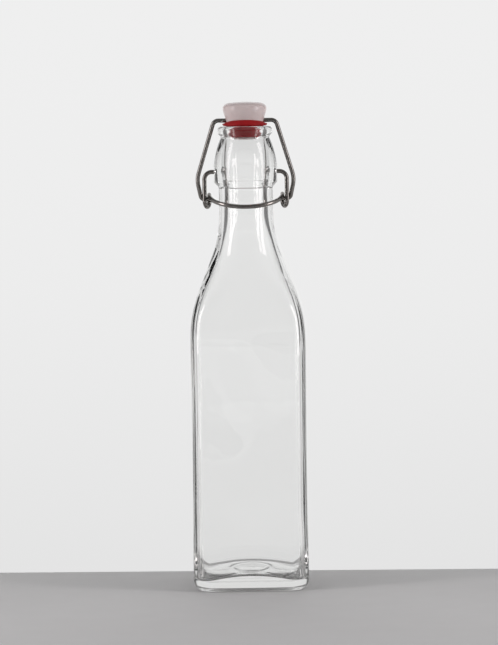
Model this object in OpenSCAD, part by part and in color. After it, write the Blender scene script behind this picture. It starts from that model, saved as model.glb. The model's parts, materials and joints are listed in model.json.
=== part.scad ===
// Swing-top bottle: a slim square glass bottle, with a stopper held down by a bail wire and a lever wire.
// Millimetres. Origin at the middle of the base, +Z up. The lever's handle lies in front, towards -Y.

/* [Bottle body] */
// Width of the square body across its flats
body_w = 62; // [56:0.5:70]
// Radius of the body's four upright corners
corner_r = 9; // [7:0.5:12]
// How far each flat draws in at the middle of the body
flat_draw = 0.4; // [0:0.1:1]
// Glass thickness of the body's sides
wall = 2.9; // [2.2:0.1:3.5]
// Thickness of the glass floor in the middle, where its inside is domed up
floor_t = 9.6; // [8.6:0.2:11]
// Height of the hollow under the floor
punt_h = 1.8; // [1:0.2:2.6]
// How far the rounded heel comes in at the bottom
heel_w = 4; // [3:0.5:5]
// Height of the rounded heel
heel_h = 7; // [4:0.5:9]

/* [Bottle neck] */
// Height at which the shoulder begins
shoulder_z = 125; // [110:1:130]
// Height at which the shoulder ends and the straight neck begins
neck_z = 203; // [198:1:204]
// Outside radius of the straight neck
neck_r = 14.55; // [14:0.05:15]
// Radius of the bore
bore_r = 10.2; // [9.8:0.1:10.6]
// Height of the top of the lip, which is also the height of the bottle
lip_z = 248.4; // [247.8:0.1:248.4]
// Outside radius of the lip
lip_r = 14.7; // [14.3:0.1:15]
// Largest radius of the barrel between the neck and the lip
barrel_r = 17.1; // [17:0.05:17.5]

/* [Wires] */
// Diameter of both wires
wire_d = 2.3; // [2:0.1:2.4]
// Height of the lever's pins, in the dimples of the barrel
pin_z = 224; // [223:0.5:225]
// Distance of each lever leg from the middle plane
leg_x = 22.2; // [22:0.1:22.6]
// Angle of the handle below the horizontal
handle_tilt = 20; // [16:1:24]
// Height of the crossbar that carries the stopper
crossbar_z = 251.6; // [251.4:0.1:251.8]
// Angle by which the bail's legs spread
bail_spread = 17; // [14:0.5:18]

/* [Stopper and gasket] */
// Height of the top of the stopper, which is the height of the closed bottle
stopper_top_z = 261.5; // [260:0.5:264]
// Radius of the stopper's head at its widest
head_r = 11.75; // [11.2:0.05:12.2]
// Radius of the stopper's spigot below the gasket
spigot_r = 6.15; // [5.8:0.05:6.6]
// Radius of the gasket's flange
gasket_r = 12.1; // [11.8:0.1:12.6]

/* [Hidden] */
$fn = 64;

// ---- Curves used by several outlines ----

// Points along an arc about [x, z], from angle a0 to angle a1 in n steps
function arc(x, z, r, a0, a1, n) =
    [for (i = [0:n]) let (a = a0 + (a1 - a0) * i / n) [x + r * cos(a), z + r * sin(a)]];

// Value between a and b
function mix(a, b, t) = a + (b - a) * t;

// Smooth step from 0 to 1
function smooth(t) = let (u = min(1, max(0, t))) u * u * (3 - 2 * u);

// ---- Bottle ----

half_w = body_w / 2;
corner_steps = 9;
ring_points = 4 * (corner_steps + 1);
round_gap = 0.4;            // half the flat left on a ring that is round
loft_margin = 0.07;         // the loft's top stands this far outside the neck, so the two overlap cleanly
neck_sink = 1;              // the neck reaches this far down into the loft
shoulder_ease = 2.3;        // exponents of the shoulder's curve
shoulder_fall = 4.2;
round_from_z = 146;         // the section is square with round corners below here
round_to_z = 190;           // and round above here
neck_wall = neck_r - bore_r;
thin_wall_z = 186;          // the wall has thinned from the neck's to the body's at this height
bearing_w = 3.2;            // width of the ring that the bottle stands on
floor_r = 3.2;              // fillet between the floor and the sides, inside
floor_fall = 0.0052;        // the floor's dome drops by this times the radius squared
floor_corner = 9;

// Half-width of the outside at height z
function outer_w(z) =
    let (t = min(1, max(0, (neck_z - z) / (neck_z - shoulder_z))),
         s = 1 - pow(1 - pow(t, shoulder_ease), shoulder_fall),
         draw = flat_draw * smooth((z - 12) / 40) * smooth((shoulder_z + 20 - z) / 60))
    mix(neck_r + loft_margin, half_w, s) - draw;

function roundness(z) = smooth((z - round_from_z) / (round_to_z - round_from_z));
function outer_c(z) = mix(corner_r, outer_w(z) - round_gap, roundness(z));

// Glass thickness, and the half-width and corner radius of the inside, at height z
function glass_t(z) = mix(wall, neck_wall, smooth((z - thin_wall_z) / (neck_z - 2 - thin_wall_z)));
function inner_w(z) = outer_w(z) - glass_t(z);
function inner_c(z) = mix(corner_r - wall, inner_w(z) - round_gap, roundness(z));

// Stations of the loft as [z, half-width, corner radius], from under the base, up the outside, down the inside.
// A fourth number domes the station: it drops by that times the distance from the axis squared.
bearing_w_in = half_w - heel_w - bearing_w;
punt_stations = [for (i = [0:4])
    let (a = 90 * i / 4) [punt_h * cos(a), max(0.4, bearing_w_in * sin(a)), max(0.3, (corner_r - 2) * sin(a))]];
heel_stations = [for (i = [0:5])
    let (a = 90 * i / 5)
    [heel_h * (1 - cos(a)), half_w - heel_w * (1 - sin(a)), corner_r - heel_w * (1 - sin(a)) * 0.6]];
side_z = [22, 40, 60, 80, 100, 115];
shoulder_steps = 17;
shoulder_zs = [for (i = [0:shoulder_steps]) mix(shoulder_z, neck_z, i / shoulder_steps)];
outside = [for (z = concat(side_z, shoulder_zs)) [z, outer_w(z), outer_c(z)]];
inside_zs = concat([for (i = [0:shoulder_steps]) shoulder_zs[shoulder_steps - i]], [115, 90, 65, 40, 25]);
inside = [for (z = inside_zs) [z, inner_w(z), inner_c(z)]];
floor_top_z = floor_t + punt_h;
in_half = half_w - wall;
floor_stations = [for (i = [0:5])
    let (a = 90 * i / 5)
    [floor_top_z + floor_r * (1 - sin(a)), in_half - floor_r * (1 - cos(a)),
     mix(corner_r - wall, floor_corner, i / 5), floor_fall]];
floor_middle = [for (w = [20, 15, 10, 5, 0.5]) [floor_top_z, w, min(floor_corner, w - 0.1), floor_fall]];
stations = concat(punt_stations, heel_stations, outside, inside, floor_stations, floor_middle);

// One ring of the loft: a square with round corners, as points
function ring(s) =
    [for (q = [0:3], i = [0:corner_steps])
        let (a = 90 * q + 90 * i / corner_steps,
             m = max(0, s[1] - s[2]),
             x = ((q == 0 || q == 3) ? m : -m) + s[2] * cos(a),
             y = (q < 2 ? m : -m) + s[2] * sin(a),
             fall = len(s) > 3 ? s[3] : 0)
        [x, y, s[0] - fall * (x * x + y * y)]];

module glass_body() {
    last = len(stations) - 1;
    points = [for (s = stations, p = ring(s)) p];
    sides = [for (k = [0:last - 1], j = [0:ring_points - 1])
        let (a = k * ring_points + j,
             b = k * ring_points + (j + 1) % ring_points,
             c = a + ring_points,
             d = b + ring_points)
        each [[a, c, b], [b, c, d]]];
    first_cap = [for (j = [0:ring_points - 1]) j];
    last_cap = [for (j = [0:ring_points - 1]) last * ring_points + ring_points - 1 - j];
    polyhedron(points, concat([first_cap], sides, [last_cap]));
}

lip_round = 1.8;            // rounding of the lip's top edge outside
lip_round_in = 1.2;         // and inside
lip_under_r = 1.6;          // rounding of the lip's lower edge
lip_under_z = lip_z - 3.6;
throat_r = 13.25;           // the waist between the lip and the barrel
throat_z = 242.4;
barrel_top_r = 13.3;
barrel_top_z = 241.7;
barrel_mid_z = 224;
barrel_curve = (pow(barrel_r - barrel_top_r, 2) + pow(barrel_top_z - barrel_mid_z, 2)) / (2 * (barrel_r - barrel_top_r));
barrel_end = asin((barrel_top_z - barrel_mid_z) / barrel_curve);
barrel_foot_z = 219.1;
barrel_foot_round = 1.6;
seam_z = 215.6;
seam_step = 0.25;

neck_outline = concat(
    [[bore_r, neck_z - neck_sink], [neck_r, neck_z - neck_sink], [neck_r, seam_z - 0.4]],
    [[neck_r + seam_step, seam_z], [neck_r + seam_step, seam_z + 0.35]],
    arc(barrel_r - barrel_foot_round, barrel_foot_z, barrel_foot_round, -50, 0, 4),
    arc(barrel_r - barrel_curve, barrel_mid_z, barrel_curve, 0, barrel_end, 10),
    [[throat_r, throat_z]],
    arc(lip_r - lip_under_r, lip_under_z, lip_under_r, -70, 0, 5),
    arc(lip_r - lip_round, lip_z - lip_round, lip_round, 0, 90, 7),
    arc(bore_r + lip_round_in, lip_z - lip_round_in, lip_round_in, 90, 180, 5));

pin_r = wire_d / 2;
dimple_r = pin_r + 0.08;
dimple_floor_x = 13.2;
dimple_cone_x = 15.4;
dimple_mouth_r = 2.3;

module dimple() {
    translate([dimple_floor_x, 0, pin_z]) rotate([0, 90, 0]) {
        cylinder(r = dimple_r, h = barrel_r - dimple_floor_x + 1);
        translate([0, 0, dimple_cone_x - dimple_floor_x])
            cylinder(r1 = dimple_r, r2 = dimple_mouth_r, h = barrel_r - dimple_cone_x + 0.4);
    }
}

module neck() {
    difference() {
        rotate_extrude() polygon(neck_outline);
        dimple();
        mirror([1, 0, 0]) dimple();
    }
}

module bottle() {
    color([0.80, 0.90, 0.90, 0.45]) union() {
        glass_body();
        neck();
    }
}

// ---- Wires: each is a chain of straights and bends, walked along its own +Z ----

seam = 0.015;               // each straight and bend stops this far short of its ends
knuckle_r = pin_r + 0.012;  // a small ball closes each of those gaps

module knuckle() {
    sphere(r = knuckle_r);
}

module straight(length, joined = true) {
    if (joined) knuckle();
    translate([0, 0, seam]) cylinder(r = pin_r, h = length - 2 * seam);
    translate([0, 0, length]) children();
}

// Bends by angle towards the direction that turn points at, measured from +X about the heading
module bend(radius, angle, turn = 0) {
    seam_a = seam / radius * 180 / PI;
    knuckle();
    rotate([0, 0, turn]) translate([radius, 0, 0]) {
        rotate([90, 0, 180]) rotate([0, 0, seam_a])
            rotate_extrude(angle = angle - 2 * seam_a) translate([radius, 0]) circle(r = pin_r);
        rotate([0, angle, 0]) translate([-radius, 0, 0]) rotate([0, 0, -turn]) children();
    }
}

// ---- Lever wire ----

pin_tip_x = 13.4;
leg_bend_r = 4;
cross_gap = 0.15;                                   // gap between the leg and the handle where they cross
eye_r = 3.4;                                        // radius of the eye that the bail hooks into
eye_shift = wire_d + cross_gap;
eye_turn = asin(eye_shift / (2 * eye_r));
eye_mid_y = eye_r * cos(eye_turn);
eye_drop = 15.2;                                    // from the pins down to the middle of the eye
eye_play = eye_mid_y - wire_d - 0.06;               // how far the hook sits above the middle of the eye
hook_y = 1.5;                                       // the hooks lie this far behind the pins when closed
hook_r = norm([eye_mid_y, eye_drop - eye_play]);
leg_lean = atan(eye_mid_y / (eye_drop - eye_play)) - asin(hook_y / hook_r);
hook_z = pin_z - sqrt(hook_r * hook_r - hook_y * hook_y);
handle_x = leg_x - eye_shift;
handle_start_y = eye_mid_y + eye_mid_y * cos(90 + handle_tilt + leg_lean);
handle_start_z = -eye_drop + eye_mid_y * sin(90 + handle_tilt + leg_lean);
handle_y = handle_start_y * cos(leg_lean) + handle_start_z * sin(leg_lean);
handle_gap = 0.3;                                   // between the handle and the front of the neck
handle_reach = (handle_y + neck_r + handle_gap + pin_r) / cos(handle_tilt);
// The handle's two arcs on each side meet at 45 degrees, and reach handle_x across and handle_reach forward
front_r = (handle_x * cos(45) - handle_reach * (1 - cos(45))) / (2 * cos(45) - 1);
side_r = (handle_reach - front_r * (1 - cos(45))) / cos(45);

module lever_half() {
    translate([pin_tip_x, 0, pin_z]) rotate([-leg_lean, 0, 0]) rotate([0, 90, 0])
        straight(leg_x - leg_bend_r - pin_tip_x, joined = false)
        bend(leg_bend_r, 90, 0)
        straight(eye_drop - leg_bend_r)
        bend(eye_r, 180, 90 - eye_turn)
        bend(eye_mid_y, 90 + handle_tilt + leg_lean, 90 - 2 * eye_turn)
        bend(side_r, 45, -2 * eye_turn)
        bend(front_r, 45, -2 * eye_turn)
        children();
}

module lever_wire() {
    color("silver") union() {
        lever_half() knuckle();
        mirror([1, 0, 0]) lever_half();
    }
}

// ---- Bail wire ----

bail_lean = atan(hook_y / (crossbar_z - hook_z));
bail_l = norm([hook_y, crossbar_z - hook_z]);
bail_corner_x = 16.6;
bail_corner_r = 3.2;
bail_knee_r = 14;
bail_tuck = 12;                                     // angle by which the legs turn in below the knee
bail_knee_drop = 28.1;
bail_hook_r = 2.1;
stub_x = 17.8;                                      // the hooks end this far from the middle plane
bail_corner_a = 90 - bail_spread;
bail_corner_t = bail_corner_r * tan(bail_corner_a / 2);
bail_leg_l = bail_knee_drop / cos(bail_spread) - bail_corner_t;
bail_knee_end = bail_knee_drop + bail_knee_r * (sin(bail_spread) + sin(bail_tuck));
bail_shin_drop = bail_l - bail_knee_end - bail_hook_r * (1 - sin(bail_tuck));
bail_shin_l = bail_shin_drop / cos(bail_tuck);
bail_stub_start = bail_corner_x + bail_knee_drop * tan(bail_spread)
    + bail_knee_r * (cos(bail_tuck) - cos(bail_spread)) - bail_shin_drop * tan(bail_tuck)
    - bail_hook_r * cos(bail_tuck);

module bail_half() {
    translate([0, 0, crossbar_z]) rotate([bail_lean, 0, 0]) rotate([0, 90, 0])
        straight(bail_corner_x - bail_corner_t, joined = false)
        bend(bail_corner_r, bail_corner_a, 0)
        straight(bail_leg_l)
        bend(bail_knee_r, bail_spread + bail_tuck, 0)
        straight(bail_shin_l)
        bend(bail_hook_r, 90 - bail_tuck, 0)
        straight(bail_stub_start - stub_x);
}

module bail_wire() {
    color("silver") union() {
        translate([0, 0, crossbar_z]) knuckle();
        bail_half();
        mirror([1, 0, 0]) bail_half();
    }
}

// ---- Stopper ----

wire_clear = 0.07;
head_foot_z = 249.85;
head_foot_r = 9.9;
head_wide_z = 258;
head_edge_w = 5;            // the top edge is rounded by this much across
head_edge_h = 2.8;          // and by this much down
head_crown = 0.35;
core_r = 4.5;
spigot_z = 240.1;
spigot_h = 2.9;
spigot_edge_r = 0.9;

// The head widens upwards on a shallow S curve
function head_side(t) = mix(head_foot_r, head_r, smooth(t));

stopper_outline = concat(
    [[0, spigot_z], [spigot_r - spigot_edge_r, spigot_z]],
    arc(spigot_r - spigot_edge_r, spigot_z + spigot_edge_r, spigot_edge_r, -67.5, 0, 3),
    [[spigot_r, spigot_z + spigot_h], [core_r, spigot_z + spigot_h], [core_r, head_foot_z]],
    [for (i = [0:8]) [head_side(i / 8), mix(head_foot_z, head_wide_z, i / 8)]],
    [for (i = [0:8])
        let (a = 90 * i / 8)
        [head_r - head_edge_w * (1 - cos(a)), stopper_top_z - head_crown - head_edge_h * (1 - sin(a))]],
    [[(head_r - head_edge_w) / 2, stopper_top_z - head_crown / 4], [0, stopper_top_z]]);

module stopper() {
    color("white") difference() {
        rotate_extrude() polygon(stopper_outline);
        translate([-head_r - 1, 0, crossbar_z]) rotate([0, 90, 0])
            cylinder(r = pin_r + wire_clear, h = 2 * head_r + 2);
    }
}

// ---- Gasket ----

seat_gap = 0.12;            // the closed gasket clears the lip by this, so that the lever can pass its dead centre
gasket_bore_r = core_r + 0.04;
gasket_foot_z = spigot_z + spigot_h + 0.04;
gasket_top_z = 251.8;
gasket_seat_z = lip_z + seat_gap;
cup_gap = 0.04;

gasket_outline = [
    [gasket_bore_r, gasket_foot_z],
    [7.4, gasket_foot_z],
    [7.75, gasket_foot_z + 0.35],
    [7.7, gasket_foot_z + 0.75],
    [7.2, gasket_foot_z + 1.4],
    [8.0, gasket_foot_z + 2.6],
    [9.1, gasket_foot_z + 3.9],
    [9.5, gasket_seat_z - 0.5],
    [10.0, gasket_seat_z],
    [gasket_r - 0.6, gasket_seat_z],
    [gasket_r - 0.15, gasket_seat_z + 0.3],
    [gasket_r, gasket_seat_z + 0.8],
    [gasket_r - 0.2, gasket_seat_z + 1.4],
    [gasket_r - 0.9, gasket_top_z - 0.25],
    [gasket_r - 1.15, gasket_top_z],
    [head_side((gasket_top_z - head_foot_z) / (head_wide_z - head_foot_z)) + cup_gap + 0.1, gasket_top_z],
    [head_foot_r + cup_gap + 0.1, head_foot_z - cup_gap],
    [gasket_bore_r, head_foot_z - cup_gap]
];

module gasket() {
    color("firebrick") difference() {
        rotate_extrude() polygon(gasket_outline);
        translate([-gasket_r - 1, 0, crossbar_z]) rotate([0, 90, 0])
            cylinder(r = pin_r + wire_clear, h = 2 * gasket_r + 2);
    }
}

bottle();
lever_wire();
bail_wire();
stopper();
gasket();
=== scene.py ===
"""Looks for the swing-top bottle: clear glass, steel wires, a white plastic stopper and a red rubber gasket.

Every length is in metres, in the CAD model's frame: origin in the middle of the base, +Z up, front to -Y.
"""

import json
import math

import bmesh
import bpy
from mathutils import Matrix, Vector, noise


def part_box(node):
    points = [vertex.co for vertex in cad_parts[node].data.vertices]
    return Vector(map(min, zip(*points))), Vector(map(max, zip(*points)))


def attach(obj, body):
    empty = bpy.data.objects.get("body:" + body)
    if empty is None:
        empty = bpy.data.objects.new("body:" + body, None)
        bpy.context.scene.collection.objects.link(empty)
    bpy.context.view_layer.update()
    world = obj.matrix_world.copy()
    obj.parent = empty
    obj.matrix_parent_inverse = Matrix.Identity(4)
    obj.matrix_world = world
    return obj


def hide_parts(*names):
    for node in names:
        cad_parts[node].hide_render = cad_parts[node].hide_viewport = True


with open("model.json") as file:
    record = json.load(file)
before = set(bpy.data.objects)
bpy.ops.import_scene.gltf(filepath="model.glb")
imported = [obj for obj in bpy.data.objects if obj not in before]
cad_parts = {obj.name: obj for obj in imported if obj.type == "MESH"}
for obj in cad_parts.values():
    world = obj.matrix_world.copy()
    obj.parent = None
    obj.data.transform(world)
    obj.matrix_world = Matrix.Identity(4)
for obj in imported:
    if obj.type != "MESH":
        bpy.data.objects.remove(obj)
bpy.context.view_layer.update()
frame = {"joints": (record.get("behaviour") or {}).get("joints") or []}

MM = 0.001

# ---- Places that the frame gives ----

hinges = {j["name"]: Vector(j["pos_m"]) for j in frame["joints"]}
PIN = hinges["lever_pivot"]
HOOK = hinges["bail_pivot"]
CROSSBAR = hinges["stopper_pivot"]
BOTTLE_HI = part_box("bottle")[1]
STOPPER_LO, STOPPER_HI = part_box("stopper")
GASKET_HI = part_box("gasket")[1]
LIP_Z = BOTTLE_HI.z
HALF_W = BOTTLE_HI.x
TOP_Z = STOPPER_HI.z

# ---- Small helpers ----


def smooth(t):
    """Smooth step from 0 to 1."""
    t = min(1.0, max(0.0, t))
    return t * t * (3 - 2 * t)


def mix(a, b, t):
    """The value a share t of the way from a to b."""
    return a + (b - a) * t


def sind(degrees):
    """Sine of an angle in degrees."""
    return math.sin(math.radians(degrees))


def cosd(degrees):
    """Cosine of an angle in degrees."""
    return math.cos(math.radians(degrees))


def tand(degrees):
    """Tangent of an angle in degrees."""
    return math.tan(math.radians(degrees))


def turn_steps(count):
    """Angles of count equal steps round a circle."""
    return [2 * math.pi * j / count for j in range(count)]


def arc(x, z, r, start, end, steps):
    """Points along an arc about (x, z), angles in degrees."""
    angles = [math.radians(mix(start, end, i / steps)) for i in range(steps + 1)]
    return [(x + r * math.cos(a), z + r * math.sin(a)) for a in angles]


def curve_through(points, steps):
    """A smooth curve through points, as a Catmull-Rom spline with steps samples between neighbours."""
    out = []
    last = len(points) - 1
    for i in range(last):
        p0, p1, p2, p3 = (Vector(points[min(last, max(0, k))]) for k in (i - 1, i, i + 1, i + 2))
        for s in range(steps):
            t = s / steps
            slope = (p2 - p0) * t
            bend = (2 * p0 - 5 * p1 + 4 * p2 - p3) * t**2
            twist = (3 * p1 - p0 - 3 * p2 + p3) * t**3
            out.append(0.5 * (2 * p1 + slope + bend + twist))
    out.append(Vector(points[last]))
    return [tuple(p) for p in out]


def new_object(name, mesh, body, node, material):
    """A finished piece that rides on body and stands for a CAD node."""
    obj = bpy.data.objects.new(name, mesh)
    bpy.context.scene.collection.objects.link(obj)
    mesh.materials.append(material)
    mesh.polygons.foreach_set("use_smooth", [True] * len(mesh.polygons))
    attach(obj, body)
    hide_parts(node)
    return obj


def mesh_of_rings(name, rings, looped=False):
    """A mesh skinned over rings of equal length; its end rings are filled, or joined when it is looped."""
    count = len(rings[0])
    faces = []
    for k in range(len(rings) if looped else len(rings) - 1):
        low = k * count
        high = (k + 1) % len(rings) * count
        for j in range(count):
            n = (j + 1) % count
            faces.append((low + j, low + n, high + n, high + j))
    if not looped:
        faces.append(tuple(range(count - 1, -1, -1)))
        faces.append(tuple((len(rings) - 1) * count + j for j in range(count)))
    mesh = bpy.data.meshes.new(name)
    mesh.from_pydata([p for ring in rings for p in ring], [], faces)
    mesh.update()
    return mesh


def lathe(name, outline, steps):
    """A closed solid of revolution; outline is (radius, height), and both its ends lie on the axis."""
    tip_r = 1e-6
    rings = []
    for r, z in outline:
        r = max(r, tip_r)
        rings.append([(r * math.cos(a), r * math.sin(a), z) for a in turn_steps(steps)])
    return mesh_of_rings(name, rings)


# ---- Materials ----


def set_stops(ramp, stops):
    """Gives a colour ramp its grey stops, as (place, grey) pairs that start at place 0."""
    ramp.elements.remove(ramp.elements[1])
    ramp.elements[0].position = stops[0][0]
    ramp.elements[0].color = (stops[0][1],) * 3 + (1,)
    for place, grey in stops[1:]:
        ramp.elements.new(place).color = (grey, grey, grey, 1)


def set_range(node, low, high, a, b):
    """Makes a Map Range node turn low..high into a..b."""
    for key, number in zip(("From Min", "From Max", "To Min", "To Max"), (low, high, a, b)):
        node.inputs[key].default_value = number


class Shader:
    """Builds one Principled material from short calls."""

    def __init__(self, name, **values):
        self.material = bpy.data.materials.new(name)
        self.material.use_nodes = True
        self.tree = self.material.node_tree
        self.main = self.tree.nodes["Principled BSDF"]
        self.output = self.tree.nodes["Material Output"]
        self.coords = self.add("ShaderNodeTexCoord").outputs["Object"]
        self.normal = None
        for key, value in values.items():
            self.main.inputs[key.replace("_", " ")].default_value = value

    def add(self, kind):
        return self.tree.nodes.new(kind)

    def link(self, out, socket):
        self.tree.links.new(out, socket)

    def noise(self, scale, detail, stretch=(1, 1, 1)):
        """A noise field in object space, scale in cycles per metre."""
        mapping = self.add("ShaderNodeMapping")
        mapping.inputs["Scale"].default_value = stretch
        field = self.add("ShaderNodeTexNoise")
        field.inputs["Scale"].default_value = scale
        field.inputs["Detail"].default_value = detail
        field.inputs["Roughness"].default_value = 0.55
        self.link(self.coords, mapping.inputs["Vector"])
        self.link(mapping.outputs["Vector"], field.inputs["Vector"])
        return field.outputs["Fac"]

    def blend(self, value, low, high, a, b):
        """Maps value from low..high to the colours a..b."""
        node = self.add("ShaderNodeValToRGB")
        first, last = node.color_ramp.elements
        first.position = low
        first.color = a + (1,)
        last.position = high
        last.color = b + (1,)
        self.link(value, node.inputs["Fac"])
        return node.outputs["Color"]

    def ramp(self, value, low, high, a, b):
        """Maps value from low..high to the numbers a..b."""
        node = self.add("ShaderNodeMapRange")
        set_range(node, low, high, a, b)
        self.link(value, node.inputs["Value"])
        return node.outputs["Result"]

    def bump(self, value, distance):
        """Adds a height field to the surface; distance is its depth in metres."""
        node = self.add("ShaderNodeBump")
        node.inputs["Strength"].default_value = 1.0
        node.inputs["Distance"].default_value = distance
        self.link(value, node.inputs["Height"])
        if self.normal is not None:
            self.link(self.normal, node.inputs["Normal"])
        self.normal = node.outputs["Normal"]
        self.link(self.normal, self.main.inputs["Normal"])

    def drive(self, value, key):
        self.link(value, self.main.inputs[key])


def glass_material():
    """Clear glass, faintly wavy, that takes a little light out of long paths through it."""
    s = Shader("clear_glass_look", Base_Color=(0.998, 1.0, 0.997, 1), Transmission_Weight=1.0, IOR=1.48,
               Roughness=0.0)
    s.bump(s.noise(55, 2.0, stretch=(1, 1, 0.35)), 0.12 * MM)
    inside = s.add("ShaderNodeVolumeAbsorption")
    inside.inputs["Color"].default_value = (0.5, 0.5, 0.48, 1)
    inside.inputs["Density"].default_value = 5.0
    s.link(inside.outputs["Volume"], s.output.inputs["Volume"])
    return s.material


def steel_material():
    """Bright drawn wire with fine marks and a little grime."""
    s = Shader("steel_wire_look", Metallic=1.0, Anisotropic=0.3)
    s.drive(s.blend(s.noise(900, 6.0), 0.35, 0.7, (0.19, 0.178, 0.168), (0.30, 0.283, 0.268)), "Base Color")
    s.drive(s.ramp(s.noise(1600, 5.0), 0.3, 0.75, 0.08, 0.17), "Roughness")
    s.bump(s.noise(5000, 3.0), 0.012 * MM)
    s.bump(s.noise(700, 2.0), 0.01 * MM)
    return s.material


def plastic_material():
    """Satin moulded plastic that lets a little light in."""
    s = Shader("white_plastic_look", Subsurface_Weight=0.12, Subsurface_Scale=0.002,
               Subsurface_Radius=(1.0, 0.8, 0.7), Specular_IOR_Level=0.5)
    s.drive(s.blend(s.noise(260, 4.0), 0.35, 0.7, (0.78, 0.665, 0.655), (0.81, 0.69, 0.68)), "Base Color")
    s.drive(s.ramp(s.noise(900, 5.0), 0.3, 0.7, 0.16, 0.26), "Roughness")
    s.bump(s.noise(2500, 3.0), 0.003 * MM)
    return s.material


def rubber_material():
    """Soft satin rubber."""
    s = Shader("red_rubber_look", Specular_IOR_Level=0.25)
    s.drive(s.blend(s.noise(420, 5.0), 0.3, 0.75, (0.34, 0.004, 0.007), (0.47, 0.008, 0.011)), "Base Color")
    s.drive(s.ramp(s.noise(1300, 4.0), 0.3, 0.7, 0.38, 0.60), "Roughness")
    s.bump(s.noise(2600, 5.0), 0.03 * MM)
    return s.material


# ---- Bottle: one closed skin, up the outside and down the inside ----

# Body and shoulder.
NECK_R = 14.55 * MM
BORE_R = 10.2 * MM
SHOULDER_Z = 125 * MM
NECK_Z = 203 * MM
SEAM_Z = 215.6 * MM
CORNER_R = 9 * MM
WALL = 3.3 * MM
FLAT_DRAW = 0.4 * MM
INNER_CORNER_R = 4 * MM

# Foot: punt with a plain ring ridge, knurled standing ring, rounded heel with the mould's parting line.
PUNT_H = 1.8 * MM
RIDGE_R = 9.5 * MM
RIDGE_W = 0.9 * MM
RIDGE_H = 0.25 * MM
BEARING_W = 3.2 * MM
BEARING_CORNER_R = CORNER_R - 2.5 * MM
KNURL_H = 0.3 * MM
HEEL_W = 4 * MM
HEEL_H = 7 * MM
PARTING_Z = 1.6 * MM
PARTING_STEP = 0.22 * MM
PARTING_FADE = 0.4 * MM

# Inside: domed floor, which drops by FLOOR_FALL times the square of the distance from the axis.
FLOOR_TOP = 11.4 * MM
FLOOR_FALL = 5.2
FLOOR_FILLET = 3.2 * MM
FLOOR_CORNER_R = 9 * MM
WALL_FOOT_Z = 24 * MM

# Unevenness of the two skins, which fades out over RIPPLE_FADE at the ends of the walls.
RIPPLE_OUT = 0.12 * MM
RIPPLE_IN = 0.9 * MM
RIPPLE_FADE = 20 * MM
RIPPLE_SEED_IN = 7.3

# How finely each stretch is divided.
CORNER_STEPS = 28
FLAT_STEPS = 16
PUNT_STEPS = 24
HEEL_STEPS = 24
SIDE_STEPS = 200
FILLET_STEPS = 12


def ring_angles():
    """Directions of a ring's points, closer together round the corners than along the flats."""
    half = math.degrees(math.atan2(HALF_W, HALF_W - CORNER_R)) - 45
    angles = []
    for quarter in range(4):
        corner = 90 * quarter + 45
        for i in range(FLAT_STEPS):
            angles.append(math.radians(corner - 90 + half + (90 - 2 * half) * i / FLAT_STEPS))
        for i in range(CORNER_STEPS):
            angles.append(math.radians(corner - half + 2 * half * i / CORNER_STEPS))
    return angles


RING_ANGLES = ring_angles()


def outer_w(z):
    """Half-width of the outside."""
    t = min(1.0, max(0.0, (NECK_Z - z) / (NECK_Z - SHOULDER_Z)))
    fall = 1 - (1 - t**2.3) ** 4.2
    rise = smooth((z - 12 * MM) / (40 * MM)) * smooth((SHOULDER_Z + 20 * MM - z) / (60 * MM))
    return mix(NECK_R, HALF_W, fall) - FLAT_DRAW * rise


def roundness(z):
    """0 where the cross-section is square, 1 where it is round."""
    return smooth((z - 146 * MM) / (44 * MM))


def outer_c(z):
    """Corner radius of the outside."""
    return mix(CORNER_R, outer_w(z), roundness(z))


def inner_w(z):
    """Half-width of the inside."""
    return outer_w(z) - mix(WALL, NECK_R - BORE_R, smooth((z - 186 * MM) / (15 * MM)))


def inner_c(z):
    """Corner radius of the inside."""
    return mix(INNER_CORNER_R, inner_w(z), roundness(z))


def ring_radius(angle, w, c):
    """Distance from the axis to a square of half-width w with corner radius c, in one direction."""
    a = abs((angle + math.pi / 4) % (math.pi / 2) - math.pi / 4)
    m = w - c
    if math.tan(a) * w <= m:
        return w / math.cos(a)
    cs, sn = math.cos(a), math.sin(a)
    return m * (cs + sn) + math.sqrt(max(0.0, c * c - (m * (cs - sn)) ** 2))


def skin_ring(z, w, c, ripple=0.0, seed=0.0):
    """One level ring of the glass skin; ripple is how far it wanders in and out."""
    points = []
    for a in RING_ANGLES:
        r = ring_radius(a, w, c)
        if ripple:
            sample = Vector((math.cos(a) * 1.1 + seed, math.sin(a) * 1.1, z * 16))
            r += ripple * noise.noise(sample)
        points.append((r * math.cos(a), r * math.sin(a), z))
    return points


def floor_ring(w, c, lift=0.0):
    """A ring on the domed floor, lift above it."""
    points = []
    for a in RING_ANGLES:
        r = ring_radius(a, w, c)
        points.append((r * math.cos(a), r * math.sin(a), FLOOR_TOP - FLOOR_FALL * r * r + lift))
    return points


def fade(z, low):
    """Share of the ripple at height z on a wall that starts at low."""
    return smooth((z - low) / RIPPLE_FADE) * smooth((NECK_Z - z) / RIPPLE_FADE)


def foot_rings():
    """The underside, from the middle of the punt out to the standing ring."""
    bearing_in = HALF_W - HEEL_W - BEARING_W
    rings = []
    for i in range(PUNT_STEPS + 1):
        t = max(0.01, i / PUNT_STEPS)
        w = bearing_in * t
        ridge = RIDGE_H * math.exp(-((w - RIDGE_R) / RIDGE_W) ** 2)
        c = mix(w, CORNER_R - HEEL_W * 0.6, smooth(t * 1.4 - 0.4))
        rings.append(skin_ring(PUNT_H * (1 - smooth(t) ** 1.2) + ridge, w, c))
    for across in (0.2, 0.4, 0.6, 0.8):
        ring = skin_ring(0.0, bearing_in + BEARING_W * across, BEARING_CORNER_R)
        rings.append([(x, y, KNURL_H * (j % 2)) for j, (x, y, _) in enumerate(ring)])
    return rings


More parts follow.
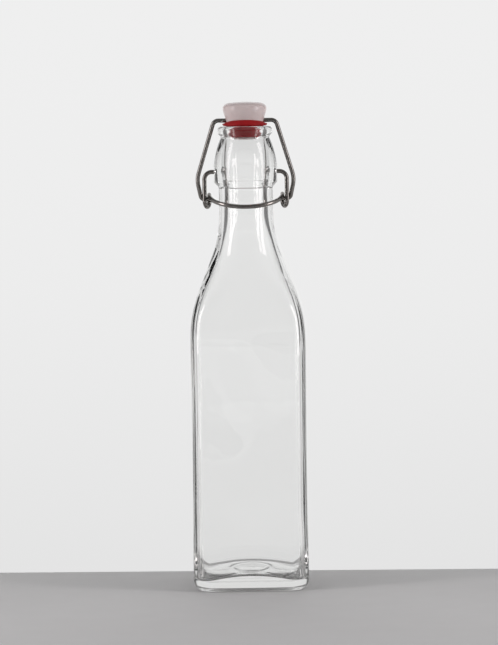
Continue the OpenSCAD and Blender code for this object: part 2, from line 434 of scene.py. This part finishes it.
def heel_rings():
    """The rounded heel, set in a little below the mould's parting line."""
    rings = []
    for i in range(HEEL_STEPS + 1):
        a = math.pi / 2 * i / HEEL_STEPS
        z = HEEL_H * (1 - math.cos(a))
        inset = HEEL_W * (1 - math.sin(a)) + PARTING_STEP * (1 - smooth((z - PARTING_Z) / PARTING_FADE))
        rings.append(skin_ring(z, HALF_W - inset, CORNER_R - 0.6 * inset))
    return rings


def wall_rings():
    """Up the outside of the walls, over the neck and lip, and down the inside."""
    rings = []
    for i in range(1, SIDE_STEPS + 1):
        z = mix(HEEL_H, NECK_Z, i / SIDE_STEPS)
        rings.append(skin_ring(z, outer_w(z), outer_c(z), RIPPLE_OUT * fade(z, HEEL_H)))
    for r, z in neck_outline():
        rings.append(skin_ring(z, r, r))
    for i in range(SIDE_STEPS, -1, -1):
        z = mix(WALL_FOOT_Z, NECK_Z, i / SIDE_STEPS)
        rings.append(skin_ring(z, inner_w(z), inner_c(z), RIPPLE_IN * fade(z, WALL_FOOT_Z), RIPPLE_SEED_IN))
    return rings


def floor_rings():
    """The fillet at the foot of the inside walls, and the domed floor in to its middle."""
    in_half = inner_w(WALL_FOOT_Z)
    flat_w = in_half - FLOOR_FILLET
    rings = []
    for i in range(FILLET_STEPS + 1):
        a = math.pi / 2 * i / FILLET_STEPS
        inset = FLOOR_FILLET * (1 - math.cos(a))
        c = mix(INNER_CORNER_R, FLOOR_CORNER_R, i / FILLET_STEPS)
        rings.append(floor_ring(in_half - inset, c, FLOOR_FILLET * (1 - math.sin(a))))
    for i in range(1, PUNT_STEPS + 1):
        w = max(0.3 * MM, flat_w * (1 - i / PUNT_STEPS))
        c = w
        if w > FLOOR_CORNER_R:
            c = mix(FLOOR_CORNER_R, w, smooth(i / PUNT_STEPS * 1.4))
        rings.append(floor_ring(w, c))
    return rings


def bottle_mesh():
    """The glass as one closed skin: foot, heel, walls, neck and lip, then the inside and the floor."""
    return mesh_of_rings("bottle_glass", foot_rings() + heel_rings() + wall_rings() + floor_rings())


def neck_outline():
    """Up the outside of the neck from the shoulder, over the lip, and down the bore."""
    barrel_r, barrel_z = 17.1 * MM, PIN.z
    throat_r, throat_z = 13.3 * MM, 241.7 * MM
    foot_z, foot_round = 219.1 * MM, 1.6 * MM
    lip_mid_r, lip_round = 12.9 * MM, 1.8 * MM
    mouth_round = 1.2 * MM
    uneven = 0.4 * MM
    curve = ((barrel_r - throat_r) ** 2 + (throat_z - barrel_z) ** 2) / (2 * (barrel_r - throat_r))
    end = math.degrees(math.asin((throat_z - barrel_z) / curve))
    points = [(NECK_R, mix(NECK_Z, SEAM_Z - 0.7 * MM, i / 8)) for i in range(1, 9)]
    for step, rise in ((0.04, -0.3), (0.20, 0.0), (0.22, 0.2)):
        points.append((NECK_R + step * MM, SEAM_Z + rise * MM))
    points += arc(barrel_r - foot_round, foot_z, foot_round, -50, 0, 8)
    points += arc(barrel_r - curve, barrel_z, curve, 0, end, 40)[:-1]
    bead = [(13.3, 241.7), (13.2, 242.4), (13.3, 243.0), (13.75, 243.6), (14.3, 244.15), (14.62, 244.9),
            (14.72, 245.8), (14.70, 246.6)]
    points += [(r * MM, z * MM) for r, z in curve_through(bead, 6)]
    points += arc(lip_mid_r, LIP_Z - lip_round, lip_round, 8, 90, 14)
    points += arc(BORE_R + mouth_round, LIP_Z - mouth_round, mouth_round, 90, 180, 10)
    for i in range(1, 60):
        z = mix(LIP_Z - mouth_round, NECK_Z, i / 60)
        belly = uneven * smooth((LIP_Z - 3 * MM - z) / (7 * MM)) * smooth((z - 219 * MM) / (9 * MM))
        pinch = uneven * smooth((221 * MM - z) / (6 * MM)) * smooth((z - NECK_Z) / (8 * MM))
        points.append((BORE_R + belly - pinch, z))
    return points


# One dimple's cutter in mm, as (radius, distance from the axis): blind end, straight seat, flared mouth.
DIMPLE = ((0.001, 13.2), (1.0, 13.2), (1.23, 13.4), (1.23, 15.4), (1.5, 16.0), (2.3, 17.5), (2.9, 18.6),
          (0.001, 18.6))
DIMPLE_SIDES = 48


def dimple_cutter():
    """Two stubs along X, at the height of the lever's pins."""
    bm = bmesh.new()
    for side in (-1, 1):
        rings = []
        for r, x in DIMPLE:
            ring = []
            for a in turn_steps(DIMPLE_SIDES):
                ring.append(bm.verts.new((side * x * MM, r * MM * math.cos(a), PIN.z + r * MM * math.sin(a))))
            rings.append(ring)
        for low, high in zip(rings, rings[1:]):
            for j in range(DIMPLE_SIDES):
                n = (j + 1) % DIMPLE_SIDES
                bm.faces.new((low[j], low[n], high[n], high[j]))
        bm.faces.new(rings[0])
        bm.faces.new(rings[-1])
    bmesh.ops.recalc_face_normals(bm, faces=bm.faces)
    mesh = bpy.data.meshes.new("dimple_cutter")
    bm.to_mesh(mesh)
    bm.free()
    return mesh


def cut_dimples(obj):
    """Sinks the two blind dimples that the lever's pins sit in."""
    cutter = bpy.data.objects.new("dimple_cutter", dimple_cutter())
    bpy.context.scene.collection.objects.link(cutter)
    cut = obj.modifiers.new("dimples", "BOOLEAN")
    cut.operation = "DIFFERENCE"
    cut.solver = "EXACT"
    cut.object = cutter
    depsgraph = bpy.context.evaluated_depsgraph_get()
    done = bpy.data.meshes.new_from_object(obj.evaluated_get(depsgraph))
    obj.modifiers.clear()
    obj.data = done
    bpy.data.objects.remove(cutter)
    done.polygons.foreach_set("use_smooth", [True] * len(done.polygons))


# ---- Wires ----

WIRE_R = 1.15 * MM
WIRE_SIDES = 28
WIRE_END_ROUND = 0.3 * MM


class Walk:
    """Walks a wire's centre line in straights and bends, as part.scad does, along its own +Z."""

    def __init__(self, start):
        self.at = start
        self.points = [start.translation.copy()]

    def straight(self, length, steps=6):
        for _ in range(steps):
            self.at = self.at @ Matrix.Translation((0, 0, length / steps))
            self.points.append(self.at.translation.copy())
        return self

    def bend(self, radius, angle, turn=0.0):
        """Bends through angle degrees about a centre radius away, which lies turn degrees round from +X."""
        steps = max(6, int(abs(angle) / 4))
        spin = Matrix.Rotation(math.radians(turn), 4, "Z")
        away = Matrix.Translation((radius, 0, 0))
        step = away @ Matrix.Rotation(math.radians(angle) / steps, 4, "Y") @ away.inverted()
        for _ in range(steps):
            self.at = self.at @ spin @ step @ spin.inverted()
            self.points.append(self.at.translation.copy())
        return self


def wire_mesh(name, points):
    """A round wire along points, its two cut ends slightly rounded."""
    last = len(points) - 1
    tangents = [(points[min(last, i + 1)] - points[max(0, i - 1)]).normalized() for i in range(last + 1)]
    across = tangents[0].orthogonal().normalized()
    end_angles = [math.pi / 2 * k / 4 for k in range(5)]
    rings = []
    for i, (p, t) in enumerate(zip(points, tangents)):
        across = (across - t * across.dot(t)).normalized()
        side = t.cross(across).normalized()
        places = [(0.0, WIRE_R)]
        if i in (0, last):
            places = [(1 - math.cos(a), WIRE_R - WIRE_END_ROUND * (1 - math.sin(a))) for a in end_angles]
        if i == last:
            places = [(-along, r) for along, r in reversed(places)]
        for along, r in places:
            centre = p + t * WIRE_END_ROUND * along
            spokes = [across * math.cos(a) + side * math.sin(a) for a in turn_steps(WIRE_SIDES)]
            rings.append([centre + spoke * r for spoke in spokes])
    return mesh_of_rings(name, rings)


def mirrored(points):
    """The same points with x turned round, in reverse order."""
    return [Vector((-p.x, p.y, p.z)) for p in reversed(points)]


def lever_points():
    """The lever from one pin through leg, eye and handle to the other pin."""
    leg_x, leg_bend_r, pin_tip_x = 22.2 * MM, 4 * MM, 13.4 * MM
    eye_r, cross_gap, eye_drop, tilt = 3.4 * MM, 0.15 * MM, 15.2 * MM, 20.0
    eye_play, neck_gap = 0.06 * MM, 0.3 * MM
    shift = 2 * WIRE_R + cross_gap
    eye_turn = math.degrees(math.asin(shift / (2 * eye_r)))
    eye_mid = eye_r * cosd(eye_turn)
    play = eye_mid - 2 * WIRE_R - eye_play
    hook_r = math.hypot(eye_mid, eye_drop - play)
    lean = math.degrees(math.atan(eye_mid / (eye_drop - play)) - math.asin(HOOK.y / hook_r))
    handle_x = leg_x - shift
    over = 90 + tilt + lean
    start_y = eye_mid + eye_mid * cosd(over)
    start_z = -eye_drop + eye_mid * sind(over)
    handle_y = start_y * cosd(lean) + start_z * sind(lean)
    reach = (handle_y + NECK_R + neck_gap + WIRE_R) / cosd(tilt)
    half = cosd(45)
    front_r = (handle_x * half - reach * (1 - half)) / (2 * half - 1)
    side_r = (reach - front_r * (1 - half)) / half
    start = (Matrix.Translation((pin_tip_x, 0, PIN.z)) @ Matrix.Rotation(math.radians(-lean), 4, "X")
             @ Matrix.Rotation(math.radians(90), 4, "Y"))
    walk = Walk(start)
    walk.straight(leg_x - leg_bend_r - pin_tip_x).bend(leg_bend_r, 90).straight(eye_drop - leg_bend_r)
    walk.bend(eye_r, 180, 90 - eye_turn).bend(eye_mid, over, 90 - 2 * eye_turn)
    walk.bend(side_r, 45, -2 * eye_turn).bend(front_r, 45, -2 * eye_turn)
    return walk.points + mirrored(walk.points)[1:]


def bail_points():
    """The bail from one hook up its leg, across through the stopper, and down to the other hook."""
    spread, tuck = 17.0, 12.0
    corner_x, corner_r, knee_r, hook_r = 16.6 * MM, 3.2 * MM, 14 * MM, 2.1 * MM
    knee_drop, stub_x = 28.1 * MM, 17.8 * MM
    drop = CROSSBAR.z - HOOK.z
    lean = math.degrees(math.atan(HOOK.y / drop))
    length = math.hypot(HOOK.y, drop)
    corner_a = 90 - spread
    corner_t = corner_r * tand(corner_a / 2)
    knee_end = knee_drop + knee_r * (sind(spread) + sind(tuck))
    shin_drop = length - knee_end - hook_r * (1 - sind(tuck))
    stub_start = (corner_x + knee_drop * tand(spread) + knee_r * (cosd(tuck) - cosd(spread))
                  - shin_drop * tand(tuck) - hook_r * cosd(tuck))
    start = (Matrix.Translation((0, 0, CROSSBAR.z)) @ Matrix.Rotation(math.radians(lean), 4, "X")
             @ Matrix.Rotation(math.radians(90), 4, "Y"))
    walk = Walk(start)
    walk.straight(corner_x - corner_t).bend(corner_r, corner_a).straight(knee_drop / cosd(spread) - corner_t)
    walk.bend(knee_r, spread + tuck).straight(shin_drop / cosd(tuck)).bend(hook_r, 90 - tuck)
    walk.straight(stub_start - stub_x)
    return mirrored(walk.points)[:-1] + walk.points


# ---- Stopper and gasket ----


def stopper_mesh():
    """A flared head with a soft elliptical top edge, over a short spigot that goes through the gasket."""
    head_r, crown = STOPPER_HI.x, 0.35 * MM
    edge_w, edge_h = 5.0 * MM, 2.8 * MM
    foot_z, foot_r, wide_z = 249.85 * MM, 9.9 * MM, 258.0 * MM
    foot_edge = 0.3 * MM
    spigot_z, spigot_r, spigot_edge, spigot_top = STOPPER_LO.z, 6.15 * MM, 0.9 * MM, 243.0 * MM
    spigot_chamfer = 0.1 * MM
    core_r = 4.5 * MM
    outline = [(0, spigot_z + 0.3 * MM), (spigot_r * 0.45, spigot_z + 0.25 * MM), (spigot_r * 0.6, spigot_z)]
    outline += arc(spigot_r - spigot_edge, spigot_z + spigot_edge, spigot_edge, -90, 0, 8)
    outline += [(spigot_r, spigot_top - spigot_chamfer), (spigot_r - spigot_chamfer, spigot_top)]
    outline += [(core_r, spigot_top), (core_r, foot_z), (foot_r - foot_edge, foot_z)]
    outline += [(mix(foot_r, head_r, smooth(i / 24)), mix(foot_z, wide_z, i / 24)) for i in range(25)]
    edge_z = TOP_Z - crown - edge_h
    for i in range(17):
        a = 90 * i / 17
        outline.append((head_r - edge_w + edge_w * cosd(a), edge_z + edge_h * sind(a)))
    for t in (0.0, 0.2, 0.4, 0.6, 0.8, 1):
        outline.append(((head_r - edge_w) * (1 - t), TOP_Z - crown * (1 - t) ** 2))
    return lathe("stopper_plastic", outline, 128)


def gasket_outline(seat, foot, flange, top):
    """Up the outside of the plug and round the flange's rim, as (radius, height)."""
    plug = [(7.0, 0.0), (7.4, 0.35), (7.2, 1.0), (7.3, 1.7), (8.2, 2.7), (9.2, 3.7)]
    step = [(9.6, -0.8), (9.9, -0.15), (10.5, 0.0)]
    rim = [(0.7, 0.0), (0.2, 0.35), (0.0, 0.9), (0.25, 1.5), (0.9, 2.3)]
    points = [(r * MM, foot + z * MM) for r, z in plug]
    points += [(r * MM, seat + z * MM) for r, z in step]
    points += [(flange - inset * MM, seat + z * MM) for inset, z in rim]
    points += [(flange - 1.5 * MM, top - 0.25 * MM), (flange - 1.7 * MM, top)]
    return curve_through(points, 6)


def gasket_mesh():
    """A rubber plug under a soft flange, which the bail presses down at both sides."""
    seat, foot, bore, flange = LIP_Z + 0.12 * MM, 242.95 * MM, 4.54 * MM, GASKET_HI.x
    top, head_z = GASKET_HI.z, 249.81 * MM
    head_clear_r, press_h, droop_h = 9.9 * MM, 1.25 * MM, 0.25 * MM
    outline = gasket_outline(seat, foot, flange, top)
    outline += [(10.15 * MM, top - 0.1 * MM), (9.95 * MM, head_z), (bore, head_z), (bore, foot)]
    rings = []
    for r, z in outline:
        press = press_h * smooth((z - seat - 0.5 * MM) / (top - seat - 0.5 * MM)) if r > head_clear_r else 0.0
        droop = droop_h * smooth((r - 10 * MM) / (flange - 10 * MM))
        ring = []
        for a in turn_steps(160):
            side = abs(math.cos(a))
            ring.append((r * math.cos(a), r * math.sin(a), z - press * side**3 + droop * side**4))
        rings.append(ring)
    return mesh_of_rings("gasket_rubber", rings, looped=True)


def build_object():
    """The five pieces, each on its own body."""
    glass = glass_material()
    steel = steel_material()
    plastic = plastic_material()
    rubber = rubber_material()
    bottle = new_object("bottle_glass", bottle_mesh(), "bottle", "bottle", glass)
    cut_dimples(bottle)
    new_object("lever", wire_mesh("lever", lever_points()), "lever", "lever_wire", steel)
    new_object("bail", wire_mesh("bail", bail_points()), "bail", "bail_wire", steel)
    new_object("stopper_plastic", stopper_mesh(), "stopper", "stopper", plastic)
    new_object("gasket_rubber", gasket_mesh(), "stopper", "gasket", rubber)


# ---- Stage, lights and camera ----

# Grey of the board and floor, and how far the board is turned from square to the bottle, in degrees.
STAGE_GREY = (0.80, 0.80, 0.80)
BOARD_TURN = -2.7
FLOOR_GLOW = 0.30
# Backdrop: (height, grey), bottom to top.
BACKDROP_STOPS = ((-0.75, 0.72), (-0.37, 0.770), (0.0, 0.852), (0.45, 0.866), (2.6, 0.87))
# World: (place, grey) from the front at 0 to the back at 1.
TENT_STOPS = ((0.0, 0.18), (0.10, 0.20), (0.32, 0.80), (0.67, 0.80), (0.69, 0.13), (0.885, 0.13), (0.91, 0.80),
              (1.0, 0.80))


def plain_material(name, glow=0.0):
    """A matt grey with faint mottling, which may give a little light of its own."""
    s = Shader(name, Roughness=0.8, Emission_Color=(1, 1, 1, 1), Emission_Strength=glow)
    dark = tuple(c * 0.97 for c in STAGE_GREY)
    s.drive(s.blend(s.noise(60, 6.0), 0.2, 0.8, dark, STAGE_GREY), "Base Color")
    return s.material


def backdrop_material():
    """A wall that gives its own light, brighter towards the top."""
    s = Shader("backdrop_glow")
    split = s.add("ShaderNodeSeparateXYZ")
    s.link(s.coords, split.inputs["Vector"])
    low, high = BACKDROP_STOPS[0][0], BACKDROP_STOPS[-1][0]
    grey = s.add("ShaderNodeValToRGB")
    grey.color_ramp.interpolation = "B_SPLINE"
    set_stops(grey.color_ramp, [((z - low) / (high - low), value) for z, value in BACKDROP_STOPS])
    s.link(s.ramp(split.outputs["Z"], low, high, 0.0, 1.0), grey.inputs["Fac"])
    glow = s.add("ShaderNodeEmission")
    s.link(grey.outputs["Color"], glow.inputs["Color"])
    s.link(glow.outputs["Emission"], s.output.inputs["Surface"])
    return s.material


def staged_box(name, low, high, material):
    """A box of the stage between two corners."""
    mesh = bpy.data.meshes.new(name)
    bm = bmesh.new()
    bmesh.ops.create_cube(bm, size=1)
    for v in bm.verts:
        v.co = Vector(mix(low[k], high[k], v.co[k] + 0.5) for k in range(3))
    bm.to_mesh(mesh)
    bm.free()
    mesh.materials.append(material)
    obj = bpy.data.objects.new(name, mesh)
    bpy.context.scene.collection.objects.link(obj)
    return obj


def softbox(name, side):
    """A tall soft light in front and to one side, turned towards the bottle."""
    data = bpy.data.lights.new(name, "AREA")
    data.shape = "RECTANGLE"
    data.size = 0.22
    data.size_y = 0.9
    data.energy = 3.0
    data.color = (1, 0.94, 0.95)
    obj = bpy.data.objects.new(name, data)
    obj.location = (side * 0.95, -0.42, 0.45)
    obj.rotation_euler = (Vector((0, 0, 0.15)) - obj.location).to_track_quat("-Z", "Y").to_euler()
    bpy.context.scene.collection.objects.link(obj)


def build_world():
    """A light tent: bright behind and at the sides, dim in between and in front."""
    world = bpy.data.worlds.new("studio")
    world.use_nodes = True
    tree = world.node_tree
    background = tree.nodes["Background"]
    coords = tree.nodes.new("ShaderNodeTexCoord")
    split = tree.nodes.new("ShaderNodeSeparateXYZ")
    along = tree.nodes.new("ShaderNodeMapRange")
    set_range(along, -1, 1, 0, 1)
    tent = tree.nodes.new("ShaderNodeValToRGB")
    set_stops(tent.color_ramp, TENT_STOPS)
    above = tree.nodes.new("ShaderNodeMapRange")
    above.interpolation_type = "SMOOTHSTEP"
    set_range(above, 0.25, 0.75, 1.0, 0.5)
    tree.links.new(coords.outputs["Generated"], split.inputs["Vector"])
    tree.links.new(split.outputs["Y"], along.inputs["Value"])
    tree.links.new(along.outputs["Result"], tent.inputs["Fac"])
    tree.links.new(tent.outputs["Color"], background.inputs["Color"])
    tree.links.new(split.outputs["Z"], above.inputs["Value"])
    tree.links.new(above.outputs["Result"], background.inputs["Strength"])
    bpy.context.scene.world = world


def build_stage():
    """A grey board under the bottle, a pale floor far below it and a pale glowing wall behind."""
    board = plain_material("board_grey")
    floor = plain_material("floor_pale", glow=FLOOR_GLOW)
    table = staged_box("board", (-0.9, -0.9, -0.018), (0.9, 0.0495, 0.0), board)
    table.rotation_euler = (0, 0, math.radians(BOARD_TURN))
    staged_box("floor", (-12, -12, -0.78), (12, 12, -0.75), floor)
    staged_box("backdrop", (-1.5, 2.6, -0.75), (1.5, 2.61, 2.6), backdrop_material())
    for side in (-1, 1):
        softbox(f"softbox_{side}", side)
    build_world()


def build_camera():
    """A long lens a little above the stopper's height, tilted down a few degrees."""
    distance, height, roll = 1.8, 0.268, 0.85
    view_h, sensor = 348.75 * MM, 36
    at = Vector((0, -distance, height))
    ahead = Vector((0.0007, 0, 0.1424)) - at
    data = bpy.data.cameras.new("camera")
    data.sensor_fit = "VERTICAL"
    data.sensor_height = sensor
    data.sensor_width = sensor
    data.lens = sensor * ahead.length / view_h
    data.clip_start = 0.05
    data.clip_end = 20
    obj = bpy.data.objects.new("camera", data)
    aimed = ahead.to_track_quat("-Z", "Y").to_matrix().to_4x4()
    obj.matrix_world = Matrix.Translation(at) @ aimed @ Matrix.Rotation(math.radians(-roll), 4, "Z")
    bpy.context.scene.collection.objects.link(obj)
    bpy.context.scene.camera = obj


def set_look():
    """Plain colours, and enough bounces for light inside the glass."""
    scene = bpy.context.scene
    scene.view_settings.view_transform = "Standard"
    scene.cycles.max_bounces = 32
    scene.cycles.transmission_bounces = 32
    scene.cycles.glossy_bounces = 16
    scene.cycles.transparent_max_bounces = 16


build_camera()
build_object()
build_stage()
set_look()
